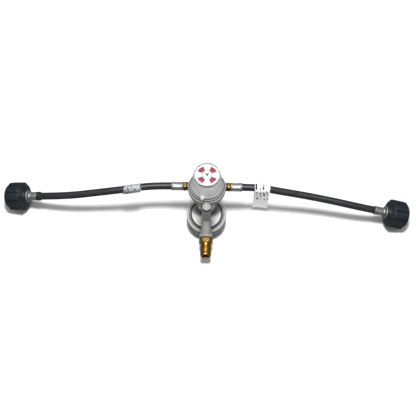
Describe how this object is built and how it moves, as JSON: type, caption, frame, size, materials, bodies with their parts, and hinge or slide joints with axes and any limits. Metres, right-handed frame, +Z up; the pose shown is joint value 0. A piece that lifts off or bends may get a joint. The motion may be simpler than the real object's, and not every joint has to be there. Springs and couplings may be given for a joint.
{
  "type": "propane regulator hose",
  "caption": "Two-stage automatic changeover propane regulator with a selector knob, brass flare outlet and two pigtail hoses that end in black plastic hand nuts.",
  "frame": {"origin": "middle of the second-stage bonnet's flat base", "axes": "+Z up both stage axes, -Y out of the outlet, -X and +X towards the left and right pigtails"},
  "size_m": [0.7167, 0.1403, 0.141],
  "materials": {
    "zinc_casting": "satin",
    "steel": "satin",
    "spring_steel": "satin",
    "ferrule_steel": "gloss",
    "brass": "gloss",
    "black_rubber": "matte",
    "hose_rubber": "satin",
    "black_plastic": "satin",
    "clear_plastic": "gloss",
    "white_plastic": "satin",
    "red_plastic": "gloss",
    "silver_label": "satin",
    "paper": "matte"
  },
  "bodies": {
    "regulator": {"main_body": "zinc_casting", "first_stage_bonnet": "zinc_casting", "first_stage_diaphragm": "black_rubber", "test_plug": "steel", "second_stage_bonnet": "zinc_casting", "closing_cap": "zinc_casting", "adjusting_screw": "steel", "second_stage_spring": "spring_steel", "second_stage_diaphragm": "black_rubber", "orifice": "brass", "vent_screen": "steel", "outlet_fitting": "brass", "lever_pin": "steel", "first_stage_spring": "spring_steel", "hose_label": "silver_label", "hose_collar": "hose_rubber", "hose_tag": "paper", "inlet_seat_left": "brass", "inlet_filter_left": "steel", "inlet_spring_left": "spring_steel", "flare_nut_left": "brass", "inner_ferrule_left": "ferrule_steel", "hose_left": "hose_rubber", "outer_ferrule_left": "ferrule_steel", "nipple_ring_left": "steel", "nipple_left": "brass", "probe_seal_left": "black_rubber", "poppet_spring_left": "spring_steel", "inlet_seat_right": "brass", "inlet_filter_right": "steel", "inlet_spring_right": "spring_steel", "flare_nut_right": "brass", "inner_ferrule_right": "ferrule_steel", "hose_right": "hose_rubber", "outer_ferrule_right": "ferrule_steel", "nipple_ring_right": "steel", "nipple_right": "brass", "probe_seal_right": "black_rubber", "poppet_spring_right": "spring_steel"},
    "selector_knob": {"knob_shell": "zinc_casting", "knob_lens": "clear_plastic", "indicator_dial": "white_plastic", "selector_spindle": "steel"},
    "first_stage_piston": {"first_stage_plate": "steel", "indicator_stem": "steel", "indicator_drum": "red_plastic"},
    "inlet_valve_left": {"inlet_valve_left": "brass"},
    "inlet_valve_right": {"inlet_valve_right": "brass"},
    "second_stage_piston": {"second_stage_plate": "steel"},
    "valve_lever": {"lever": "steel"},
    "second_stage_valve": {"valve_disc": "black_rubber"},
    "hand_nut_left": {"coupling_nut_left": "black_plastic"},
    "hand_nut_right": {"coupling_nut_right": "black_plastic"},
    "poppet_left": {"excess_flow_poppet_left": "brass"},
    "poppet_right": {"excess_flow_poppet_right": "brass"}
  },
  "joints": [
    {"name": "selector_turn", "type": "hinge", "parent": "regulator", "child": "selector_knob", "pos_m": [0, 0.022, 0.12], "axis": [0, 0, 1], "range_deg": [-74, 106]},
    {"name": "first_stage_lift", "type": "slide", "parent": "regulator", "child": "first_stage_piston", "axis": [0, 0, 1], "range_m": [0, 0.0012], "stiffness_N_per_m": 400, "springref_m": -0.002, "deforming": ["first_stage_diaphragm", "first_stage_spring"]},
    {"name": "inlet_valve_left_travel", "type": "slide", "parent": "regulator", "child": "inlet_valve_left", "axis": [1, 0, 0], "range_m": [0, 0.0006], "deforming": ["inlet_spring_left"]},
    {"name": "inlet_valve_right_travel", "type": "slide", "parent": "regulator", "child": "inlet_valve_right", "axis": [-1, 0, 0], "range_m": [0, 0.0006], "deforming": ["inlet_spring_right"]},
    {"name": "second_stage_drop", "type": "slide", "parent": "regulator", "child": "second_stage_piston", "axis": [0, 0, -1], "range_m": [0, 0.001], "stiffness_N_per_m": 300, "springref_m": -0.003, "deforming": ["second_stage_diaphragm", "second_stage_spring"]},
    {"name": "lever_rock", "type": "hinge", "parent": "regulator", "child": "valve_lever", "pos_m": [0, 0.006, 0.0316], "axis": [1, 0, 0], "range_deg": [0, 9.6]},
    {"name": "valve_close", "type": "slide", "parent": "regulator", "child": "second_stage_valve", "axis": [0, 0, 1], "range_m": [0, 0.0007]},
    {"name": "hand_nut_left_turn", "type": "hinge", "parent": "regulator", "child": "hand_nut_left", "pos_m": [-0.3168, 0.0312, 0.03478], "axis": [-0.9254, 0.1632, -0.342], "continuous": true},
    {"name": "poppet_left_travel", "type": "slide", "parent": "regulator", "child": "poppet_left", "axis": [0.9254, -0.1632, 0.342], "range_m": [0, 0.003], "stiffness_N_per_m": 60, "springref_m": -0.002, "deforming": ["poppet_spring_left"]},
    {"name": "hand_nut_right_turn", "type": "hinge", "parent": "regulator", "child": "hand_nut_right", "pos_m": [0.3162, 0.0127, 0.03478], "axis": [0.9397, 0, -0.342], "continuous": true},
    {"name": "poppet_right_travel", "type": "slide", "parent": "regulator", "child": "poppet_right", "axis": [-0.9397, 0, 0.342], "range_m": [0, 0.003], "stiffness_N_per_m": 60, "springref_m": -0.002, "deforming": ["poppet_spring_right"]}
  ],
  "couplings": [
    {"joint": "inlet_valve_left_travel", "follows": "first_stage_lift", "ratio": 0.5},
    {"joint": "inlet_valve_right_travel", "follows": "first_stage_lift", "ratio": 0.5},
    {"joint": "lever_rock", "follows": "second_stage_drop", "rad_per_m": 166.67},
    {"joint": "valve_close", "follows": "second_stage_drop", "ratio": 0.6667}
  ]
}
